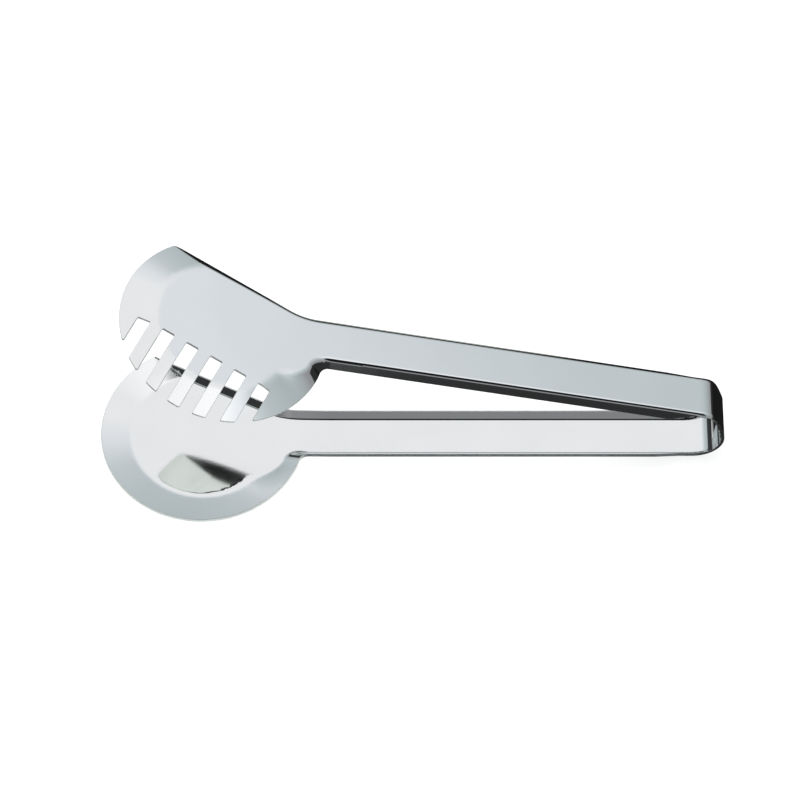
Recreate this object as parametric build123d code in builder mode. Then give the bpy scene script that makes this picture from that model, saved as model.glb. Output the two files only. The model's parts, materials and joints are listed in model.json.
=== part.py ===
"""Spring ice tongs, pressed from one strip of 1 mm stainless steel. Millimetres, +Z up.

The strip is bent into a U at its +X end, and that bend is the spring. It is three nodes: the bend,
and the two arms that it carries. Each arm is a shallow channel that ends in a round dished head,
and the upper head is a comb. The lower arm lies flat on z = 0. The origin is on its underside, on
the centre line, half way along the tongs.
"""

import os
from math import atan, cos, radians, sin, tan

from build123d import *

# Driving dimensions
sheet = 1.0  # thickness of the strip
floor_width = 13.7  # flat of an arm, from outside fold to outside fold
flange_length = 3.7  # slope length of an arm's flange, outside
flange_splay = 50.0  # flange's lean from the arm's face, degrees
strip_width = 15.0  # width of the strip at the bend
bend_height = 14.0  # the arms open about this height over the lower arm's underside
bend_lean = 17.4  # the bend's back leans in towards the upper arm, degrees
bend_corner = 10.1  # the back meets the upper arm's face this far behind the bend axis, unrounded
low_bend = 11.5  # outside radius of the bend at the lower arm
high_bend = 4.5  # outside radius of the bend at the upper arm
opening = 15.6  # angle between the arms at rest, degrees
head_reach = 161.6  # bend axis to the centre of a head
head_radius = 34.6  # rim of a head, outside
dish_width = 11.0  # sloping band round a head
dish_rise = 2.9  # height of that band, outside
dish_fold = 12.0  # radius of the soft fold between a head's floor and its band
chord_angle = 25.6  # straight far side of a head, from the arm's direction, degrees
chord_distance = 17.6  # fold of that side from the head's centre
neck_blend = 25.0  # radius in plan where the arm's far fold turns into the straight side
fold_radius = 1.6  # outside radius of an arm's folds
run_out_start = 9.0  # where the flanges start to run out, from the bend
run_out_end = 1.0  # where only the strip's width is left
slot_count = 6  # slots in the upper head's comb
slot_pitch = 8.9
slot_width = 4.4
slot_root = 13.0  # closed ends of the slots, from the head's centre
slot_shift = 1.0  # middle of the comb, along the straight side
slot_corner = 0.8  # radius of a slot's closed corners
overrun = 20.0  # cutters and blanks run past what they make by this much
clearance = 0.1  # a cutter's edge clears the flanges by this much

# Worked out
flange_out = flange_length * cos(radians(flange_splay))
flange_rise = flange_length * sin(radians(flange_splay))
edge_in = sheet * sin(radians(flange_splay))  # the sheet's edge is square to the flange
edge_rise = sheet * cos(radians(flange_splay))
inset = sheet * tan(radians(flange_splay / 2))  # from the outside fold to the inside one
dish_slope = atan(dish_rise / dish_width)
dish_floor = head_radius - dish_width
dish_inset = sheet * tan(dish_slope / 2)
rim_in = sheet * sin(dish_slope)  # the rim's edge is square to the band
rim_rise = sheet * cos(dish_slope)
lean_back = radians(opening)
back_lean = radians(bend_lean)
corner_rise = bend_height * (1 + 1 / cos(lean_back)) - bend_corner * tan(lean_back)
low_corner = bend_corner + corner_rise * tan(back_lean)  # where the back would meet the table
bend_reach = low_corner - low_bend * (tan(radians(45) + back_lean / 2) - 1)
bow_x = (head_reach + head_radius - bend_reach) / 2  # bend axis, with the origin half way along
along = Vector(cos(radians(chord_angle)), -sin(radians(chord_angle)))  # direction of the straight side
across = Vector(sin(radians(chord_angle)), cos(radians(chord_angle)))  # square to it, to the near side
centre = Vector(head_reach, 0)
foot = centre - across * chord_distance  # the straight side's point nearest to the head's centre


def arm_outline(shrink):
    """The arm's flat as far as the middle of the head, with its folds moved in by shrink."""
    half = floor_width / 2 - shrink
    fold_foot = foot + across * shrink
    kink = fold_foot - along * ((half + fold_foot.Y) / along.Y)
    with BuildSketch() as outline:
        with BuildLine():
            FilletPolyline(
                (-overrun, half),
                (-overrun, -half),
                (kink.X, -half),
                (fold_foot.X, fold_foot.Y),
                radius=[0, neck_blend + shrink],
            )
            Polyline(
                (fold_foot.X, fold_foot.Y),
                (centre.X, centre.Y),
                (centre.X, half),
                (-overrun, half),
            )
        make_face()
    return outline.sketch


def channel_blank():
    """The arm's outside, filled in, with its flanges' edges square to their slope."""
    with BuildPart() as blank:
        add(arm_outline(0))
        extrude(amount=flange_rise, taper=flange_splay - 90)
        folds = blank.edges().group_by(Axis.Z)[0].filter_by(lambda edge: edge.center().X > 0)
        fillet(folds, fold_radius)
        with BuildSketch(Plane.XY.offset(flange_rise)):
            add(arm_outline(-flange_out))
        extrude(amount=edge_rise, taper=flange_splay)
    return blank.part


def channel_hollow():
    """What is taken out of the arm's blank."""
    with BuildPart() as hollow:
        with BuildSketch(Plane.XY.offset(sheet)):
            add(arm_outline(inset))
        extrude(amount=overrun / 2, taper=flange_splay - 90)
        folds = hollow.edges().group_by(Axis.Z)[0].filter_by(lambda edge: edge.center().X > 0)
        fillet(folds, fold_radius - sheet)
    return hollow.part


def turned(points, fold):
    """A solid of revolution round the head's axis, with one soft fold in its profile."""
    axis_plane = Plane(origin=(head_reach, 0, 0), x_dir=(1, 0, 0), z_dir=(0, -1, 0))
    with BuildPart() as solid:
        with BuildSketch(axis_plane):
            with BuildLine():
                FilletPolyline(*points[:3], radius=fold)
                Polyline(*points[2:], points[0])
            make_face()
        revolve(axis=Axis((head_reach, 0, 0), (0, 0, 1)))
    return solid.part


def past_chord(points, fold):
    """A bar along the head's straight side, with one fold. Its profile is given outwards, and up."""
    with BuildPart() as bar:
        with BuildSketch(Plane(origin=foot, x_dir=across * -1, z_dir=along * -1)):
            with BuildLine():
                FilletPolyline(*points[:3], radius=fold)
                Polyline(*points[2:], points[0])
            make_face()
        extrude(amount=2 * head_radius, both=True)
    return bar.part


def dish_blank():
    """A head's outside, filled in, with its rim's edge square to the band and its far side straight."""
    top = dish_rise + rim_rise
    profile = [
        (0, 0),
        (dish_floor, 0),
        (head_radius, dish_rise),
        (head_radius - rim_in, top),
        (0, top),
    ]
    outside = [
        (-overrun, 0),
        (0, 0),
        (flange_out, flange_rise),
        (flange_out - edge_in, flange_rise + edge_rise),
        (flange_out - edge_in, overrun),
        (overrun, overrun),
        (overrun, -overrun),
        (-overrun, -overrun),
    ]
    with BuildPart() as blank:
        add(turned(profile, dish_fold))
        add(past_chord(outside, fold_radius), mode=Mode.SUBTRACT)
    return blank.part


def dish_hollow():
    """What is taken out of the head's blank."""
    inner_floor = dish_floor - dish_inset
    top = sheet + overrun * tan(dish_slope)
    profile = [(0, sheet), (inner_floor, sheet), (inner_floor + overrun, top), (0, top)]
    slant = overrun / tan(radians(flange_splay))
    inside = [
        (-inset - slant / 2, sheet - overrun / 2),
        (-inset, sheet),
        (-inset + slant, sheet + overrun),
        (3 * overrun, sheet + overrun),
        (3 * overrun, sheet - overrun / 2),
    ]
    with BuildPart() as hollow:
        add(turned(profile, dish_fold - sheet))
        add(past_chord(inside, 0), mode=Mode.SUBTRACT)
    return hollow.part


def run_out():
    """What is cut off beside the strip, so that the flanges run out towards the bend."""
    with BuildPart() as cut:
        with BuildSketch():
            with BuildLine():
                Polyline(
                    (-2 * overrun, strip_width / 2),
                    (run_out_end, strip_width / 2),
                    (run_out_start, floor_width / 2 + flange_out + clearance),
                    (run_out_start, overrun),
                    (-2 * overrun, overrun),
                    close=True,
                )
            make_face()
            mirror(about=Plane.XZ)
        extrude(amount=overrun, both=True)
    return cut.part


def pressed_arm():
    """An arm on its outside: x towards its head, y to the near side, z to the other arm."""
    with BuildPart() as arm:
        add(channel_blank())
        add(dish_blank())
        add(channel_hollow(), mode=Mode.SUBTRACT)
        add(dish_hollow(), mode=Mode.SUBTRACT)
        add(run_out(), mode=Mode.SUBTRACT)
        split(bisect_by=Plane.YZ, keep=Keep.TOP)
    return arm.part


def comb_cutters():
    """The slots of the comb, side by side along the straight side's direction and open at the rim."""
    length = 2 * head_radius
    middle = centre + across * (slot_root + length / 2) + along * slot_shift
    with BuildPart() as cutters:
        with BuildSketch(Plane(origin=middle - Vector(0, 0, overrun), x_dir=along, z_dir=(0, 0, 1))):
            with GridLocations(slot_pitch, 0, slot_count, 1):
                RectangleRounded(slot_width, length, slot_corner)
        extrude(amount=2 * overrun)
    return cutters.part


def combed_arm():
    """The upper arm, lying on its outside, with its comb cut and its near side mirrored."""
    with BuildPart() as arm:
        add(pressed_arm())
        add(comb_cutters(), mode=Mode.SUBTRACT)
        mirror(about=Plane.XZ, mode=Mode.REPLACE)
    return arm.part


def bend_line(depth):
    """The bend's side view, unrounded, at this depth under the strip's outside."""
    arm_out = bend_height - depth
    low = low_corner - depth / cos(back_lean) - depth * tan(back_lean)
    turn = Vector(cos(back_lean), sin(back_lean))
    plane = Vector(sin(lean_back), cos(lean_back))
    wall = low_corner * turn.X - depth - bend_height * turn.Y
    cross = turn.X * plane.Y - turn.Y * plane.X
    high = ((wall * plane.Y - arm_out * turn.Y) / cross, (arm_out * turn.X - wall * plane.X) / cross)
    return [
        (bow_x, depth),
        (bow_x + low, depth),
        (bow_x + high[0], bend_height + high[1]),
        (bow_x + arm_out * plane.X, bend_height + arm_out * plane.Y),
    ]


# The two arms' places. The upper one is turned over, and its head stays over the lower one's.
lower_place = Plane(origin=(bow_x, 0, 0), x_dir=(-1, 0, 0), z_dir=(0, 0, 1))
upper_place = Plane(
    origin=(bow_x + bend_height * sin(lean_back), 0, bend_height * (1 + cos(lean_back))),
    x_dir=(-cos(lean_back), 0, sin(lean_back)),
    z_dir=(-sin(lean_back), 0, -cos(lean_back)),
)

with BuildPart() as lower_arm:
    add(lower_place * pressed_arm())

with BuildPart() as upper_arm:
    add(upper_place * combed_arm())

with BuildPart() as spring_bow:
    with BuildSketch(Plane.XZ):
        with BuildLine():
            FilletPolyline(*bend_line(0), radius=[low_bend, high_bend])
            FilletPolyline(*bend_line(sheet), radius=[low_bend - sheet, high_bend - sheet])
            for end in (0, -1):
                Line(bend_line(0)[end], bend_line(sheet)[end])
        make_face()
    extrude(amount=strip_width / 2, both=True)

os.makedirs("parts", exist_ok=True)
lower_arm.part.label = "lower_arm"
export_step(lower_arm.part, "parts/lower_arm.step")
upper_arm.part.label = "upper_arm"
export_step(upper_arm.part, "parts/upper_arm.step")
spring_bow.part.label = "spring_bow"
export_step(spring_bow.part, "parts/spring_bow.step")
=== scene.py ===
"""Spring ice tongs, pressed from one strip of mirror-polished stainless steel, in a studio. Metres.

Each arm is one pressed sheet. Its middle surface is a height over the arm's plan, with sloping flanges
and a dished head. The sheet's faces lie half a thickness either side of it, and its edge is rounded. An
arm's own frame is u towards the head, v to the near side and w towards the other arm. Its outside is at
w = 0.
"""

import json
from math import atan, ceil, cos, pi, radians, sin, sqrt, tan

import bpy
import numpy as np
from mathutils import Matrix, Vector, geometry


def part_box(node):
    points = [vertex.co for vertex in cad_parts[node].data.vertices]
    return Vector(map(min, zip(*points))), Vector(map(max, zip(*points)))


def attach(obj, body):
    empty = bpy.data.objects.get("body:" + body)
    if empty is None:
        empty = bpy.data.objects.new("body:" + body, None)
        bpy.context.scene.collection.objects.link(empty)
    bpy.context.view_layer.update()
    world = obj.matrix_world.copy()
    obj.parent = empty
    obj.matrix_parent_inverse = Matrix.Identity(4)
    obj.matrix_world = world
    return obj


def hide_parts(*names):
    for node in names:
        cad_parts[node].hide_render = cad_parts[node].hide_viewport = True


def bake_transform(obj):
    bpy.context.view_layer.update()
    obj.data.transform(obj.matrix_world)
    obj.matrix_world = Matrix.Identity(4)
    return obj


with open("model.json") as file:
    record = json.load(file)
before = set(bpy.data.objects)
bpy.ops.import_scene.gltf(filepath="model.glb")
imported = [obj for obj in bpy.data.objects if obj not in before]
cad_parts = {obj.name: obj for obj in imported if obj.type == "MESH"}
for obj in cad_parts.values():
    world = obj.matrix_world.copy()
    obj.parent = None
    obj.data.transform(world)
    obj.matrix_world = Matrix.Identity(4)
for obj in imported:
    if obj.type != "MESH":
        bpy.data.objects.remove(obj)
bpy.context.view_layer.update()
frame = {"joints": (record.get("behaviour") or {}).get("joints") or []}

mm = 0.001

# The frame's sizes and places
joint = frame["joints"][0]
bow_x = joint["pos_m"][0]
bend_height = joint["pos_m"][2]  # the arms open about this height over the lower arm's underside
head_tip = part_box("lower_arm")[0]
head_radius = -head_tip.y  # rim of a head, outside
head_reach = bow_x - head_tip.x - head_radius  # bend axis to the centre of a head
half_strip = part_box("spring_bow")[1].y  # half the strip's width at the bend

# The pressed sheet
sheet = 1.0 * mm
opening = radians(15.6)  # angle between the arms at rest
half_floor = 6.85 * mm  # flat of an arm, from its middle to the outside fold
bend_lean = radians(17.4)  # the bend's back leans in towards the upper arm
bend_corner = 10.1 * mm  # the back meets the upper arm's face this far behind the bend axis, unrounded
low_bend = 11.5 * mm  # outside radius of the bend at the lower arm
high_bend = 4.5 * mm  # outside radius of the bend at the upper arm
flange_length = 3.7 * mm  # slope length of an arm's flange, outside
flange_splay = radians(50)  # flange's lean from the arm's face
dish_width = 11.0 * mm  # sloping band round a head
dish_rise = 2.9 * mm
dish_fold = 12.0 * mm  # outside radius of the soft fold between a head's floor and its band
neck_width = 6.0 * mm  # the band narrows to this at the near neck
narrowing = radians(130)  # and starts to narrow at this angle round the head
comb_neck_width = 3.8 * mm  # the same two for the comb's band
comb_narrowing = radians(138)
chord_angle = radians(25.6)  # straight far side of a head, from the arm's direction
chord_distance = 17.6 * mm  # fold of that side from the head's centre
comb_splay = radians(42)  # lean of the comb's straight flange at its far end
hollow_depth = 0.85 * mm  # slight hollow of the lower head's floor
hollow_width = 35 * mm
hollow_start = 10 * mm  # it starts this far before the head
hollow_onset = 25 * mm  # and comes in over this length
polished_more = 2.0  # its polished surface is hollowed by this much more than the sheet
hollow_place = np.array([-5.9, 21.4]) * mm  # its lowest point, from the head's centre
neck_blend = 25.0 * mm  # radius in plan where the arm's far fold turns into the straight side
near_neck = 3.5 * mm  # radius in plan where the arm's near flange meets the round rim
fold_radius = 1.6 * mm
run_out_start = 9.0 * mm  # where the flanges start to run out, from the bend
run_out_end = 1.0 * mm  # where the strip has its width at the bend
fade_length = 12.0 * mm  # the rest of the flanges' folds fades out this far into the bend
slot_count = 6
slot_pitch = 8.9 * mm
slot_width = 4.4 * mm
slot_root = 13.0 * mm  # closed ends of the slots, from the head's centre
slot_shift = 1.0 * mm
slot_corner = 0.4 * mm
tine_corner = 0.45 * mm  # rounding in plan of a tine's tip
far_corner = 1.2 * mm  # rounding in plan where the straight side meets the round rim
edge_round = 0.12 * mm  # rounding of the sheet's edges

# The meshes
border_step = 0.9 * mm
arc_step = 0.5 * mm
rim_step = 1.2 * mm
row_step = 1.5 * mm  # along the folds
field_step = 1.4 * mm
neck_step = 0.5 * mm
corner_step = 0.6 * mm
bend_step = 0.4 * mm
row_clear = 0.2 * mm  # rows of points keep this far from the border
field_clear = 0.7 * mm  # and the field this far
field_gap = 0.9 * mm  # between the field and the rows
seam_clear = 3.0 * mm  # fold rows start this far from the bend
neck_reach = 8.0 * mm  # close points go this far past the near neck's arc
corner_area = 11.0 * mm  # and this far round the far corner
# Rows of points beside a fold, and beside the seam with the bend
fold_offsets = np.array([-0.75, -0.5, -0.33, -0.16, 0, 0.16, 0.33, 0.5, 0.75, 1.15]) * mm
seam_offsets = np.array([0.3, 0.7, 1.2, 1.8, 2.5]) * mm

neck_overlap = 1.3  # the rim's points end this many neck radii before the neck
merge_distance = 1e-5  # plan points nearer than this, in millimetres, are merged

# Worked out for the middle surface
half_sheet = sheet / 2
wall_slope = tan(flange_splay)
wall_inset = half_sheet * tan(flange_splay / 2)  # from the outside fold to the middle surface's
flange_out = flange_length * cos(flange_splay)
flange_rise = flange_length * sin(flange_splay)
rim_out = flange_out - half_sheet * sin(flange_splay)
band_lean = atan(dish_rise / dish_width)
rim_radius = head_radius - half_sheet * sin(band_lean)
centre = np.array([head_reach, 0.0])
along = np.array([cos(chord_angle), -sin(chord_angle)])
across = np.array([sin(chord_angle), cos(chord_angle)])
to_side = np.array([0.0, 1.0])

# The near neck's arc in plan, outside the rim
neck_away = half_floor + flange_out + near_neck
neck_turn = centre + [-sqrt((head_radius + near_neck) ** 2 - neck_away**2), neck_away]
neck_ends = np.arctan2(*(centre - neck_turn)[::-1])
neck_area = near_neck + neck_reach


def fold_reach(radius, slope):
    """How near two heights have to be for soft_max to round their fold to about this radius."""
    return radius * slope**2 / (2 * (1 + slope**2 / 4) ** 1.5)


wall_reach = fold_reach(fold_radius - half_sheet, wall_slope)


def soft_max(a, b, reach):
    """The larger of two heights, rounded off where they are within reach of each other."""
    near = np.maximum(reach - abs(a - b), 0)
    return np.maximum(a, b) + near**2 / (4 * reach)


def ease(x):
    """0 below 0, 1 above 1 and smooth between."""
    x = np.clip(x, 0, 1)
    return x * x * (3 - 2 * x)


def past_far_fold(points):
    """Distance of plan points outside the far fold: arm's side, arc and the head's straight side."""
    arm_side = -half_floor - points[:, 1]
    straight_side = -chord_distance - (points - centre) @ across
    turn = far_turn_centre(neck_blend)
    spoke = points - turn
    on_turn = (spoke[:, 0] > 0) & (spoke @ along < 0)
    return np.where(on_turn, neck_blend - np.hypot(*spoke.T), np.minimum(arm_side, straight_side))


def near_wall(points, comb):
    """Height of the near flange and the head's band, which are one wall that follows the near rim."""
    narrowest, start = (comb_neck_width, comb_narrowing) if comb else (neck_width, narrowing)
    past_side = points[:, 1] - half_floor - flange_out
    spokes = points - centre
    past_head = np.hypot(*spokes.T) - head_radius
    from_turn = points - neck_turn
    angle = np.arctan2(from_turn[:, 1], from_turn[:, 0])
    on_head = (angle > neck_ends) & (from_turn[:, 0] > 0) | (points[:, 0] > head_reach)
    on_neck = (angle > -pi / 2) & (angle <= neck_ends) & ~on_head
    past_neck = near_neck - np.hypot(*from_turn.T)
    past_rim = np.where(on_neck, past_neck, np.where(on_head, past_head, past_side))
    round_head = np.arctan2(abs(spokes[:, 1]), spokes[:, 0])
    at_neck = pi + neck_ends
    head_width = dish_width - (dish_width - narrowest) * ease((round_head - start) / (at_neck - start))
    turned = ease((angle + pi / 2) / (neck_ends + pi / 2))
    turned_width = flange_out + (narrowest - flange_out) * turned
    width = np.where(on_head, head_width, np.where(on_neck, turned_width, flange_out))
    share = (width - flange_out) / (dish_width - flange_out)
    slope = (flange_rise + (dish_rise - flange_rise) * share) / width
    fold = fold_radius + (dish_fold - fold_radius) * share - half_sheet
    inset = half_sheet * np.tan(np.arctan(slope) / 2)
    return soft_max(slope * (past_rim + width + inset), 0, fold_reach(fold, slope))


def far_turn_centre(distance):
    """The point at this distance outside both the arm's side and the head's straight side."""
    offsets = np.array([-half_floor - distance, centre @ across - chord_distance - distance])
    return np.linalg.solve(np.array([to_side, across]), offsets)


def far_lean(points, comb):
    """Lean of the far flange. Along the comb's straight side it leans out more and more."""
    start = (far_turn_centre(neck_blend) - centre) @ along
    end = sqrt(head_radius**2 - chord_distance**2)
    share = ease(((points - centre) @ along - start) / (end - start))
    return flange_splay + ((comb_splay if comb else flange_splay) - flange_splay) * share


def far_wall(points, comb):
    """Height of the far flange, unrounded. Its rim keeps its height."""
    lean = far_lean(points, comb)
    past_rim = past_far_fold(points) - flange_out + half_sheet * np.tan(lean / 2)
    return np.tan(lean) * past_rim + flange_rise


def hollow(points):
    """The slight hollow of the lower head's floor."""
    spokes = points - centre - hollow_place
    onset = ease((points[:, 0] - head_reach + head_radius + hollow_start) / hollow_onset)
    return hollow_depth * (1 - np.exp(-(spokes**2).sum(1) / hollow_width**2)) * onset


def height(points, comb, hollows=1):
    """Height of the middle surface over its flat, at plan points."""
    pressed = soft_max(far_wall(points, comb), near_wall(points, comb), wall_reach)
    return pressed if comb else pressed + hollows * hollow(points)


def slope_along(points, comb, step):
    """Slope of the polished surface along a short step."""
    ahead = height(points + step, comb, polished_more)
    behind = height(points - step, comb, polished_more)
    return (ahead - behind) / (2 * np.linalg.norm(step))


def surface(points, comb):
    """Middle surface and its normals, in the arm's own frame, over plan points."""
    step = 0.002 * mm
    slope_u = slope_along(points, comb, np.array([step, 0]))
    slope_v = slope_along(points, comb, np.array([0, step]))
    normals = np.stack([-slope_u, -slope_v, np.ones(len(points))], axis=1)
    normals /= np.linalg.norm(normals, axis=1)[:, None]
    return np.column_stack([points, height(points, comb) + half_sheet]), normals


def rounded(corners, step=arc_step):
    """A closed outline through (point, radius) corners, with arcs at the corners that have a radius."""
    outline = []
    for i, (point, radius) in enumerate(corners):
        before = np.array(corners[i - 1][0]) - point
        after = np.array(corners[(i + 1) % len(corners)][0]) - point
        before /= np.linalg.norm(before)
        after /= np.linalg.norm(after)
        if radius == 0:
            outline.append(np.array(point))
            continue
        half_turn = np.arccos(np.clip(before @ after, -1, 1)) / 2
        whole = pi - 2 * half_turn
        middle = point + (before + after) / np.linalg.norm(before + after) * radius / sin(half_turn)
        start = point + before * radius / tan(half_turn) - middle
        end = point + after * radius / tan(half_turn) - middle
        count = max(3, ceil(radius * whole / step))
        for share in np.linspace(0, 1, count + 1):
            sweep = whole * share
            outline.append(middle + (sin(whole - sweep) * start + sin(sweep) * end) / sin(whole))
    return outline


def divided(outline, step):
    """The closed outline with its long runs divided evenly. The run that closes it is left whole."""
    points = []
    for here, there in zip(outline, outline[1:]):
        count = max(1, round(np.linalg.norm(there - here) / step))
        points += [here + (there - here) * k / count for k in range(count)]
    return np.array(points + [outline[-1]])


def on_rim(shift, radius):
    """The rim's point at this shift along the straight side's direction, on the comb's side."""
    return centre + along * shift + across * sqrt(radius**2 - shift**2)


def rim_arc(start, end, radius, step=rim_step):
    """Corners along the rim between two angles round the head's centre, without its two ends."""
    count = ceil(abs(end - start) * radius / step)
    angles = np.linspace(start, end, count + 1)[1:-1]
    return [(centre + radius * np.array([cos(a), sin(a)]), 0) for a in angles]


def angle_of(point):
    """A plan point's angle round the head's centre."""
    spoke = point - centre
    return np.arctan2(spoke[1], spoke[0])


def comb_corners(start, radius, back):
    """Corners of the comb's slots, on the way round the rim from an angle, and where they end."""
    corners = []
    half_slot = slot_width / 2 + back
    for i in reversed(range(slot_count)):
        middle = slot_shift + (i - (slot_count - 1) / 2) * slot_pitch
        first, last = on_rim(middle + half_slot, radius), on_rim(middle - half_slot, radius)
        root = centre + along * middle + across * (slot_root - back)
        inner = [root + along * half_slot, root - along * half_slot]
        corners += rim_arc(start, angle_of(first), radius)
        corners += [(first, tine_corner - back)] + [(p, slot_corner + back) for p in inner]
        corners += [(last, tine_corner - back)]
        start = angle_of(last)
    return corners, start


def arm_plan(comb, back):
    """The arm's outline in plan, drawn in by back, from the bend round to the bend again."""
    radius = rim_radius - back
    rim_half = half_floor + rim_out - back
    straight = chord_distance + rim_out - back
    kink = far_turn_centre(rim_out - back)
    shift = sqrt(radius**2 - straight**2)
    corner = centre + along * shift - across * straight
    neck = centre + [-sqrt(radius**2 - rim_half**2), rim_half]
    end = angle_of(neck) - neck_overlap * near_neck / radius
    corners = [
        (np.array([0, -half_strip + back]), 0),
        (np.array([run_out_end, -half_strip + back]), run_out_end),
        (np.array([run_out_start, -rim_half]), run_out_start),
        (kink, neck_blend - rim_out + back),
        (corner, far_corner),
    ]
    start = angle_of(corner) + 2 * far_corner / radius
    if comb:
        slots, start = comb_corners(start, radius, back)
        corners += slots
    corners += rim_arc(start, end, radius)
    corners += [
        (centre + radius * np.array([cos(end), sin(end)]), 0),
        (neck, near_neck + back),
        (np.array([run_out_start, rim_half]), run_out_start),
        (np.array([run_out_end, half_strip - back]), run_out_end),
        (np.array([0, half_strip - back]), 0),
    ]
    return divided(rounded(corners), border_step)


def edge_distance(points, outline):
    """Distance of each point to the closed outline, positive inside."""
    starts, ends = outline, np.roll(outline, -1, axis=0)
    runs = ends - starts
    offset = points[:, None] - starts
    share = np.clip((offset * runs).sum(2) / (runs**2).sum(1), 0, 1)
    distance = np.linalg.norm(offset - share[..., None] * runs, axis=2).min(1)
    above = (starts[:, 1] > points[:, None, 1]) != (ends[:, 1] > points[:, None, 1])
    rise = np.where(runs[:, 1] == 0, 1, runs[:, 1])
    crossing = points[:, None, 0] < starts[:, 0] + runs[:, 0] * offset[..., 1] / rise
    inside = (above & crossing).sum(1) % 2 == 1
    return np.where(inside, distance, -distance)


def grid(step):
    """Staggered plan points over an arm and its head."""
    rows = np.arange(-head_radius, head_radius, step * sqrt(3) / 2)
    places = np.arange(step / 2, head_reach + head_radius, step)
    return np.array([(u + step / 2 * (i % 2), v) for i, v in enumerate(rows) for u in places])


def fold_rows(step, comb):
    """Plan points in close rows along the arm's two folds and the head's straight side."""
    places = np.arange(step / 2, head_reach, step)
    turn = far_turn_centre(neck_blend)
    angles = np.arange(pi / 2 - chord_angle, pi / 2, step / neck_blend)
    shifts = np.arange((turn - centre) @ along, head_radius, step)
    straight = centre + np.outer(shifts, along) - across * chord_distance
    moved = flange_rise / np.tan(far_lean(straight, comb)) - flange_out
    points = []
    for offset in fold_offsets - wall_inset:
        points += [(u, half_floor + offset) for u in places]
        points += [(u, -half_floor - offset) for u in places if u < turn[0]]
        points += [turn + (neck_blend - offset) * np.array([cos(a), sin(a)]) for a in angles]
        points += list(straight - across * (offset - moved)[:, None])
    points = np.array(points)
    clear = np.hypot(*(points - neck_turn).T) > neck_area
    on_head = (points[:, 1] > 0) & (points[:, 0] > neck_turn[0])
    return points[clear & ~on_head]


def close_points(middle, reach, step):
    """A square grid of plan points within reach of one."""
    places = np.arange(-reach, reach, step)
    shifts = np.stack(np.meshgrid(places, places), axis=2).reshape(-1, 2)
    return middle + shifts[np.hypot(*shifts.T) < reach]


def seam_points():
    """Plan points in rows close to an arm's seam with the bend."""
    return np.stack(np.meshgrid(seam_offsets, strip_columns()), axis=2).reshape(-1, 2)


def spaced(points, others, gap):
    """The points that are at least gap away from all the others."""
    clear = [np.linalg.norm(others - p, axis=1).min() > gap for p in points]
    return points[np.array(clear)]


def strip_columns(count=60):
    """Places across the strip at the bend, from side to side."""
    return np.linspace(-1, 1, count + 1) * (half_strip - edge_round)


def arm_surface(comb):
    """Plan points of an arm, its border first, and the triangles between them."""
    seam = [(0, v) for v in strip_columns()[-2:0:-1]]
    border = np.vstack([arm_plan(comb, edge_round), seam])
    corner = centre + along * sqrt(rim_radius**2 - chord_distance**2) - across * chord_distance
    rows = fold_rows(row_step, comb)
    rows = rows[np.hypot(*(rows - corner).T) > corner_area]
    rows = rows[rows[:, 0] > seam_clear]
    by_neck = close_points(neck_turn, neck_area, neck_step)
    by_corner = close_points(corner, corner_area, corner_step)
    rows = np.vstack([rows, seam_points(), by_neck, by_corner])
    rows = rows[edge_distance(rows, border) > row_clear]
    field = grid(field_step)
    field = field[edge_distance(field, border) > field_clear]
    field = spaced(field, rows, field_gap)
    points = np.vstack([border, rows, field])
    flat = [Vector(p / mm) for p in points]
    made = geometry.delaunay_2d_cdt(flat, [], [list(range(len(border)))], 1, merge_distance)
    return np.array([[c * mm for c in p] for p in made[0]]), [list(f) for f in made[2]], len(border)


def edge_rows():
    """(height, reach) of the rows round the sheet's edge, from its inner face to its outer one."""
    turns = [radians(a) for a in (30, 60, 90)]
    upper = [(half_sheet - edge_round * (1 - cos(a)), edge_round * sin(a), a) for a in turns]
    lower = [(-rise, reach, pi - a) for rise, reach, a in reversed(upper)]
    return upper + lower


def outward(border, normals):
    """Unit vectors out of the sheet along an arm's border, and none along its seam with the bend."""
    seam = len(strip_columns()) - 2
    run = np.roll(border, -1, axis=0) - np.roll(border, 1, axis=0)
    run[0] = (1, 0, 0)
    run[-seam - 1] = (-1, 0, 0)
    out = np.cross(run, normals)
    out /= np.linalg.norm(out, axis=1)[:, None]
    out[-seam:] = 0
    return out


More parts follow.
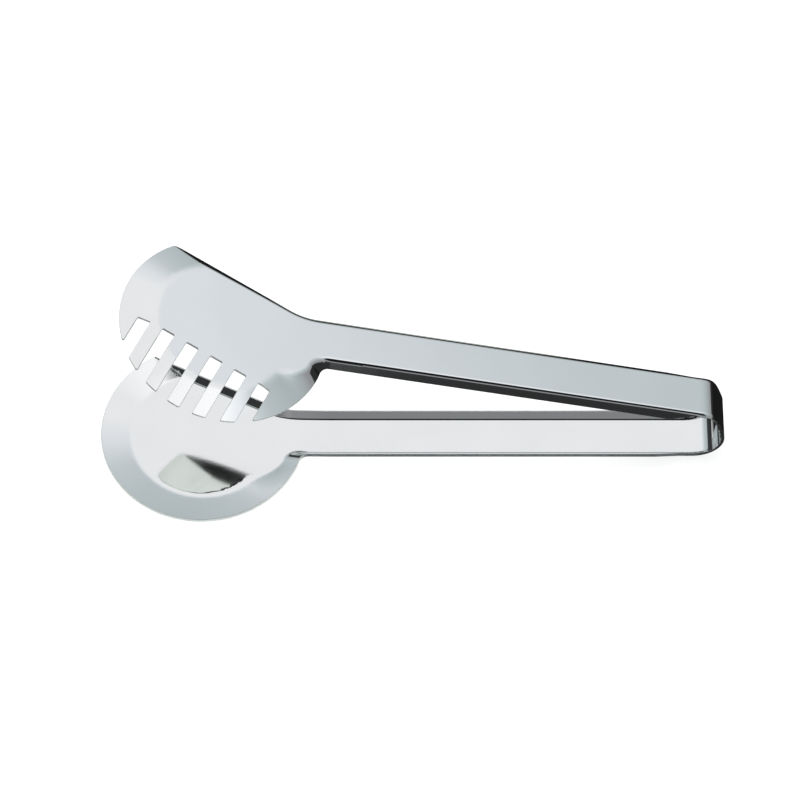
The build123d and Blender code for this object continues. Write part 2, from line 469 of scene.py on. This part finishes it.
def thicken(name, points, normals, faces, border, out, place):
    """A mesh object of the sheet with this middle surface: two faces and a rounded edge."""
    rows = edge_rows()
    corners = [points + half_sheet * normals]
    shading = [normals]
    for rise, reach, turn in rows:
        corners.append(points[border] + rise * normals[border] + reach * out)
        shading.append(cos(turn) * normals[border] + sin(turn) * out)
    corners.append(points - half_sheet * normals)
    shading.append(-normals)
    low = len(points) + len(rows) * len(border)
    rings = [list(border)]
    rings += [[len(points) + k * len(border) + i for i in range(len(border))] for k in range(len(rows))]
    rings += [[low + i for i in border]]
    polygons = [list(f) for f in faces] + [[low + i for i in reversed(f)] for f in faces]
    for upper, lower in zip(rings, rings[1:]):
        for i in range(len(border)):
            j = (i + 1) % len(border)
            polygons.append([upper[i], lower[i], lower[j], upper[j]])
    turned = np.array(place.to_3x3())
    if np.linalg.det(turned) < 0:
        polygons = [p[::-1] for p in polygons]
    mesh = bpy.data.meshes.new(name)
    placed = np.vstack(corners) @ turned.T + np.array(place.translation)
    mesh.from_pydata(placed.tolist(), [], polygons)
    shaded = np.vstack(shading) @ turned.T
    shaded /= np.maximum(np.linalg.norm(shaded, axis=1), 1e-9)[:, None]
    on_faces = 2 * len(faces)
    slots = [0] * on_faces + [1] * (len(polygons) - on_faces)  # the polished faces, then the edge
    mesh.polygons.foreach_set("material_index", slots)
    mesh.shade_smooth()
    mesh.normals_split_custom_set_from_vertices(shaded.tolist())
    mesh.validate()
    made = bpy.data.objects.new(name, mesh)
    bpy.context.scene.collection.objects.link(made)
    return made


def arm(name, comb, place):
    """One arm with its head."""
    plan, faces, count = arm_surface(comb)
    points, normals = surface(plan, comb)
    out = outward(points[:count], normals[:count])
    return thicken(name, points, normals, faces, list(range(count)), out, place)


def bend_line():
    """Corners, with their radii, of the bend's middle line in side view, from the lower arm up."""
    corner_rise = bend_height * (1 + 1 / cos(opening)) - bend_corner * tan(opening)
    low_corner = bend_corner + corner_rise * tan(bend_lean)
    back = np.array([cos(bend_lean), sin(bend_lean)])
    face = np.array([sin(opening), cos(opening)])
    arm_out = bend_height - half_sheet
    back_out = low_corner * back[0] - bend_height * back[1] - half_sheet
    axis = np.array([bow_x, bend_height])
    low = axis + np.linalg.solve([back, (0, -1)], [back_out, arm_out])
    high = axis + np.linalg.solve([back, face], [back_out, arm_out])
    ends = axis + [0, -arm_out], axis + face * arm_out
    return [(ends[0], 0), (low, low_bend - half_sheet), (high, high_bend - half_sheet), (ends[1], 0)]


def bow(name, easing=24):
    """The bend of the strip. Its curves come in gently, and the flanges' folds fade out."""
    line = divided(rounded(bend_line()), bend_step)
    for _ in range(easing):
        line[1:-1] = (line[:-2] + 2 * line[1:-1] + line[2:]) / 4
    run = np.gradient(line, axis=0)
    run[0], run[-1] = (1, 0), (-cos(opening), sin(opening))
    run /= np.linalg.norm(run, axis=1)[:, None]
    passed = np.cumsum(np.linalg.norm(np.diff(line, axis=0, prepend=line[:1]), axis=1))
    faded = 1 - ease(np.minimum(passed, passed[-1] - passed) / fade_length)
    across_strip = strip_columns()
    folds = soft_max(wall_slope * (abs(across_strip) - half_floor + wall_inset), 0, wall_reach)
    lift = faded[:, None] * folds
    inward = run[:, ::-1] * [-1, 1]
    sheet_points = np.stack(
        [
            line[:, :1] + inward[:, :1] * lift,
            np.broadcast_to(across_strip, lift.shape),
            line[:, 1:] + inward[:, 1:] * lift,
        ],
        axis=2,
    )
    along_strip = np.gradient(sheet_points, axis=0)
    along_strip[0], along_strip[-1] = (run[0, 0], 0, run[0, 1]), (run[-1, 0], 0, run[-1, 1])
    over_strip = np.gradient(sheet_points, axis=1)
    over_strip /= np.linalg.norm(over_strip, axis=2)[..., None]
    normals = np.cross(along_strip, over_strip)
    normals /= np.linalg.norm(normals, axis=2)[..., None]
    last, columns = lift.shape[0] - 1, lift.shape[1] - 1
    wide = columns + 1
    faces = []
    for i in range(last):
        for j in range(columns):
            start = i * wide + j
            faces.append([start, start + wide, start + wide + 1, start + 1])
    near = [i * wide for i in range(last + 1)]
    far = [i * wide + columns for i in reversed(range(last + 1))]
    top = [last * wide + j for j in range(1, columns)]
    bottom = list(reversed(range(1, columns)))
    border = near + top + far + bottom
    seam = np.zeros((len(top), 3))
    out = np.vstack([-over_strip[:, 0], seam, over_strip[::-1, -1], seam])
    points = sheet_points.reshape(-1, 3)
    return thicken(name, points, normals.reshape(-1, 3), faces, border, out, Matrix())


def placement(u_way, w_way, origin):
    """The matrix that takes an arm's own frame to the row frame. Both arms' near side is towards -Y."""
    columns = Matrix((u_way, (0, -1, 0), w_way)).transposed().to_4x4()
    columns.translation = origin
    return columns


lower_place = placement((-1, 0, 0), (0, 0, 1), (bow_x, 0, 0))
upper_place = placement(
    (-cos(opening), 0, sin(opening)),
    (-sin(opening), 0, -cos(opening)),
    (bow_x + bend_height * sin(opening), 0, bend_height * (1 + cos(opening))),
)
lower_arm = arm("lower_arm_sheet", False, lower_place)
upper_arm = arm("upper_arm_sheet", True, upper_place)
spring = bow("spring_bow_sheet")

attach(lower_arm, "lower")
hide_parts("lower_arm")
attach(upper_arm, "upper")
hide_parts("upper_arm")
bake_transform(spring)
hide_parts("spring_bow")


# The steel's looks
tints = (0.785, 0.79, 0.795, 1), (0.81, 0.815, 0.82, 1)
polish = 0.03, 0.06  # roughness
cloud_scale = 60
line_scale = 900
wave_scale = 45
wave_depth = 0.02 * mm
line_depth = 0.0006 * mm
edge_colour = (0.82, 0.83, 0.84, 1)
edge_roughness = 0.45, 0.6
grain_scale = 700
grain_depth = 0.004 * mm

# The surroundings' looks
table_colour = (0.45, 0.45, 0.45, 1)
table_roughness = 0.9
table_light = 0.85
white = (1, 1, 1, 1)
# Painted light: glowing patches on the floor that only reflections in the steel see
painted_glow_colour = (0.94, 1.0, 0.94, 1)
painted_glow_light = 1.05
# Painted shade: in reflections the floor is near black, lit by no lamp
painted_dark_floor_light = 0.012
glow_patch_rim = 0.9, 1.2  # the glowing patches of painted light fade out between these shares of their half-axes
glow_patches_at = ((-0.165, 0.06), (-0.03, -0.015))  # middles of the glowing patches of painted light, seen only in reflections
glow_patch_reaches = ((0.075, 0.075), (0.10, 0.075))  # and their half-axes
ceiling_way = (-0.2, 0.15, 1.0)  # the ceiling's light rises this way
ceiling_stops = [
    (0.0, (0.30, 0.31, 0.315)),
    (0.27, (0.36, 0.37, 0.38)),
    (0.38, (0.42, 0.45, 0.455)),
    (0.55, (0.50, 0.56, 0.57)),
    (0.64, (0.58, 0.64, 0.655)),
    (0.685, (0.64, 0.70, 0.72)),
    (0.745, (0.86, 0.895, 0.93)),
    (0.80, (0.98, 0.99, 1.0)),
]
horizon_way = (0.02, 0.05, 1.0)  # square to the horizon, below which it is dark
horizon_rim = 0.265, 0.30
horizon_light = 0.10
patch_rim = 0.78, 0.84  # of the dark patch in the camera's direction
patch_light = 0.02
lamp_way = (0.35, -0.15, 0.92)  # the brightest part of the ceiling
lamp_rim = 0.90, 0.97
lamp_light = 1.2


def new_material(name):
    """A material of this name, its nodes and its links."""
    material = bpy.data.materials.new(name)
    material.use_nodes = True
    return material, material.node_tree.nodes, material.node_tree.links


def noise(nodes, links, coordinates, scale, stretch=(1, 1, 1), detail=4):
    """A noise texture over the object's own coordinates, finer along the axes with a larger stretch."""
    mapping = nodes.new("ShaderNodeMapping")
    mapping.inputs["Scale"].default_value = stretch
    texture = nodes.new("ShaderNodeTexNoise")
    texture.inputs["Scale"].default_value = scale
    texture.inputs["Detail"].default_value = detail
    links.new(coordinates, mapping.inputs["Vector"])
    links.new(mapping.outputs["Vector"], texture.inputs["Vector"])
    return texture.outputs["Fac"]


def ranged(nodes, links, value, low, high, start=0.3, end=0.7):
    """The value's range from start to end, mapped to low and high."""
    mapped = nodes.new("ShaderNodeMapRange")
    mapped.inputs["From Min"].default_value = start
    mapped.inputs["From Max"].default_value = end
    mapped.inputs["To Min"].default_value = low
    mapped.inputs["To Max"].default_value = high
    links.new(value, mapped.inputs["Value"])
    return mapped.outputs["Result"]


def bump(nodes, links, value, depth, below=None):
    """A bump of this depth in metres, over another bump's normals."""
    node = nodes.new("ShaderNodeBump")
    node.inputs["Strength"].default_value = 1
    node.inputs["Distance"].default_value = depth
    links.new(value, node.inputs["Height"])
    if below is not None:
        links.new(below, node.inputs["Normal"])
    return node.outputs["Normal"]


def polished_steel():
    """Mirror-polished stainless steel: a slow waviness, fine polishing lines and a cloudy polish."""
    material, nodes, links = new_material("polished_steel")
    shader = nodes["Principled BSDF"]
    shader.inputs["Metallic"].default_value = 1
    place = nodes.new("ShaderNodeTexCoord").outputs["Object"]
    cloud = noise(nodes, links, place, cloud_scale)
    lines = noise(nodes, links, place, line_scale, stretch=(0.03, 1, 1), detail=6)
    waves = noise(nodes, links, place, wave_scale, stretch=(0.5, 1, 1), detail=1)
    tint = nodes.new("ShaderNodeValToRGB")
    tint.color_ramp.elements[0].color = tints[0]
    tint.color_ramp.elements[1].color = tints[1]
    links.new(ranged(nodes, links, cloud, 0, 1), tint.inputs["Fac"])
    links.new(tint.outputs["Color"], shader.inputs["Base Color"])
    links.new(ranged(nodes, links, cloud, *polish), shader.inputs["Roughness"])
    wavy = bump(nodes, links, waves, wave_depth)
    links.new(bump(nodes, links, lines, line_depth, wavy), shader.inputs["Normal"])
    return material


def painted_glow_patch(nodes, links, place, middle, reach):
    """Painted light, seen only in reflections: a glowing patch on the table at a place, which fades out
    round its rim.
    """
    shift = nodes.new("ShaderNodeMapping")
    shift.inputs["Scale"].default_value = (1 / reach[0], 1 / reach[1], 0)
    shift.inputs["Location"].default_value = (-middle[0] / reach[0], -middle[1] / reach[1], 0)
    links.new(place, shift.inputs["Vector"])
    spread = nodes.new("ShaderNodeVectorMath")
    spread.operation = "LENGTH"
    links.new(shift.outputs["Vector"], spread.inputs[0])
    return ranged(nodes, links, spread.outputs["Value"], painted_glow_light, painted_dark_floor_light, *glow_patch_rim)


def pale_floor():
    """A matt white table to the camera. In reflections it is painted: near-black painted shade, with
    glowing patches of painted light on it.
    """
    material, nodes, links = new_material("pale_floor")
    table = nodes["Principled BSDF"]
    table.inputs["Base Color"].default_value = table_colour
    table.inputs["Roughness"].default_value = table_roughness
    table.inputs["Specular IOR Level"].default_value = 0
    table.inputs["Emission Color"].default_value = white
    table.inputs["Emission Strength"].default_value = table_light
    place = nodes.new("ShaderNodeTexCoord").outputs["Object"]
    either = nodes.new("ShaderNodeMath")
    either.operation = "MAXIMUM"
    for socket, middle, reach in zip(either.inputs, glow_patches_at, glow_patch_reaches):
        links.new(painted_glow_patch(nodes, links, place, middle, reach), socket)
    # Painted light: the glowing patches, seen only in reflections
    painted_glow = nodes.new("ShaderNodeEmission")
    painted_glow.inputs["Color"].default_value = painted_glow_colour
    links.new(either.outputs["Value"], painted_glow.inputs["Strength"])
    # The camera sees the lit white table; all other rays see the painted dark floor with its painted
    # glowing patches
    seen = nodes.new("ShaderNodeMixShader")
    links.new(nodes.new("ShaderNodeLightPath").outputs["Is Camera Ray"], seen.inputs["Fac"])
    links.new(painted_glow.outputs["Emission"], seen.inputs[1])
    links.new(table.outputs["BSDF"], seen.inputs[2])
    links.new(seen.outputs["Shader"], nodes["Material Output"].inputs["Surface"])
    return material


def sheared_edge():
    """The strip's tumbled edge: the same steel, satin, with fine grain."""
    material, nodes, links = new_material("sheared_edge")
    shader = nodes["Principled BSDF"]
    shader.inputs["Metallic"].default_value = 1
    shader.inputs["Base Color"].default_value = edge_colour
    place = nodes.new("ShaderNodeTexCoord").outputs["Object"]
    grain = noise(nodes, links, place, grain_scale)
    links.new(ranged(nodes, links, grain, *edge_roughness), shader.inputs["Roughness"])
    links.new(bump(nodes, links, grain, grain_depth), shader.inputs["Normal"])
    return material


finishes = [polished_steel(), sheared_edge()]
for piece in (lower_arm, upper_arm, spring):
    for finish in finishes:
        piece.data.materials.append(finish)

floor_reach = 8.0
below_tongs = 0.05 * mm
floor_mesh = bpy.data.meshes.new("floor")
reach_signs = [(-1, -1), (1, -1), (1, 1), (-1, 1)]
floor_corners = [(x * floor_reach, y * floor_reach, -below_tongs) for x, y in reach_signs]
floor_mesh.from_pydata(floor_corners, [], [(0, 1, 2, 3)])
floor = bpy.data.objects.new("floor", floor_mesh)
bpy.context.scene.collection.objects.link(floor)
floor.data.materials.append(pale_floor())


def studio_world():
    """A white backdrop to the camera. Reflections see a ceiling, a dark horizon and a dark patch.

    The patch lies in the direction of this scene's own camera, and stays there in other views.
    """
    world = bpy.data.worlds.new("studio")
    world.use_nodes = True
    nodes, links = world.node_tree.nodes, world.node_tree.links
    way = nodes.new("ShaderNodeTexCoord").outputs["Generated"]

    def facing(vector):
        dot = nodes.new("ShaderNodeVectorMath")
        dot.operation = "DOT_PRODUCT"
        dot.inputs[1].default_value = vector
        links.new(way, dot.inputs[0])
        return dot.outputs["Value"]

    ramp = nodes.new("ShaderNodeValToRGB")
    for stop, colour in ceiling_stops[1:]:
        ramp.color_ramp.elements.new(stop).color = (*colour, 1)
    ramp.color_ramp.elements[0].color = (*ceiling_stops[0][1], 1)
    ramp.color_ramp.elements[-1].color = (*ceiling_stops[-1][1], 1)
    links.new(facing(ceiling_way), ramp.inputs["Fac"])
    above = ranged(nodes, links, facing(horizon_way), horizon_light, 1, *horizon_rim)
    off_patch = ranged(nodes, links, facing(tuple(camera_way)), 1, patch_light, *patch_rim)
    open_part = nodes.new("ShaderNodeMath")
    open_part.operation = "MULTIPLY"
    links.new(above, open_part.inputs[0])
    links.new(off_patch, open_part.inputs[1])
    shade = nodes.new("ShaderNodeVectorMath")
    shade.operation = "SCALE"
    lamp = nodes.new("ShaderNodeVectorMath")
    lamp.operation = "SCALE"
    links.new(ramp.outputs["Color"], lamp.inputs[0])
    brighter = ranged(nodes, links, facing(lamp_way), 1, lamp_light, *lamp_rim)
    links.new(brighter, lamp.inputs["Scale"])
    links.new(lamp.outputs["Vector"], shade.inputs[0])
    links.new(open_part.outputs["Value"], shade.inputs["Scale"])
    links.new(shade.outputs["Vector"], nodes["Background"].inputs["Color"])
    backdrop = nodes.new("ShaderNodeBackground")
    backdrop.inputs["Color"].default_value = white
    seen = nodes.new("ShaderNodeMixShader")
    links.new(nodes.new("ShaderNodeLightPath").outputs["Is Camera Ray"], seen.inputs["Fac"])
    links.new(nodes["Background"].outputs["Background"], seen.inputs[1])
    links.new(backdrop.outputs["Background"], seen.inputs[2])
    links.new(seen.outputs["Shader"], nodes["World Output"].inputs["Surface"])
    return world


# Camera
view_elevation = radians(58.53)
view_distance = 1.4702
aim = Vector((-0.00394, 0.0109, 0.0067))
camera_way = Vector((0, -cos(view_elevation), sin(view_elevation)))
camera_data = bpy.data.cameras.new("camera")
camera_data.sensor_width = 36
camera_data.lens = 195.2
camera_data.clip_end = 50
camera = bpy.data.objects.new("camera", camera_data)
bpy.context.scene.collection.objects.link(camera)
camera.location = aim + camera_way * view_distance
camera.rotation_euler = (pi / 2 - view_elevation, 0, 0)
bpy.context.scene.camera = camera

# Light
bpy.context.scene.world = studio_world()
softbox_data = bpy.data.lights.new("softbox", "AREA")
softbox_data.shape = "SQUARE"
softbox_data.size = 0.9
softbox_data.energy = 8
softbox = bpy.data.objects.new("softbox", softbox_data)
bpy.context.scene.collection.objects.link(softbox)
softbox.location = (-0.15, 0.45, 1.5)
softbox.visible_glossy = False
softbox.rotation_euler = (-softbox.location).to_track_quat("-Z", "Y").to_euler()
bpy.context.scene.view_settings.view_transform = "Standard"
